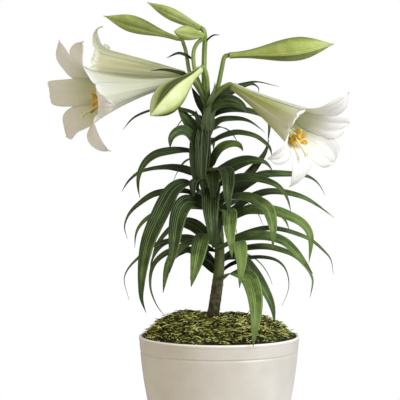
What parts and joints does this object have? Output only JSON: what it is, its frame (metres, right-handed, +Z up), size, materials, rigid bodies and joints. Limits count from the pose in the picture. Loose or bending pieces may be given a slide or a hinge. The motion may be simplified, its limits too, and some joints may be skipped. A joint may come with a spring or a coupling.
{
  "type": "potted lily",
  "caption": "White trumpet lily with arching green leaves, open blooms and closed buds in a round cream pot with a moss dressing.",
  "frame": {"origin": "middle of the pot's flat underside", "axes": "+Z up along the pot's axis, +X to the right and +Y away as seen from the front of the plant"},
  "size_m": [0.3041, 0.1892, 0.4907],
  "materials": {
    "cream_glaze": "satin",
    "dark_soil": "matte",
    "moss_green": "matte",
    "bulb_cream": "matte",
    "leaf_green": "satin",
    "tepal_white": "satin",
    "tepal_greenish": "satin",
    "anther_gold": "matte",
    "bud_green": "satin",
    "bud_pale": "satin"
  },
  "bodies": {
    "root": {"pot": "cream_glaze", "soil": "dark_soil", "moss": "moss_green", "bulb": "bulb_cream", "leafy_stem": "leaf_green", "bloom_left": "tepal_white", "bloom_left_stamens": "anther_gold", "bloom_back": "tepal_greenish", "bloom_back_stamens": "anther_gold", "bloom_right": "tepal_white", "bloom_right_stamens": "anther_gold", "bud_high": "bud_green", "bud_left": "bud_green", "bud_small": "bud_green", "bud_front": "bud_pale", "bud_right": "bud_green"}
  },
  "joints": []
}
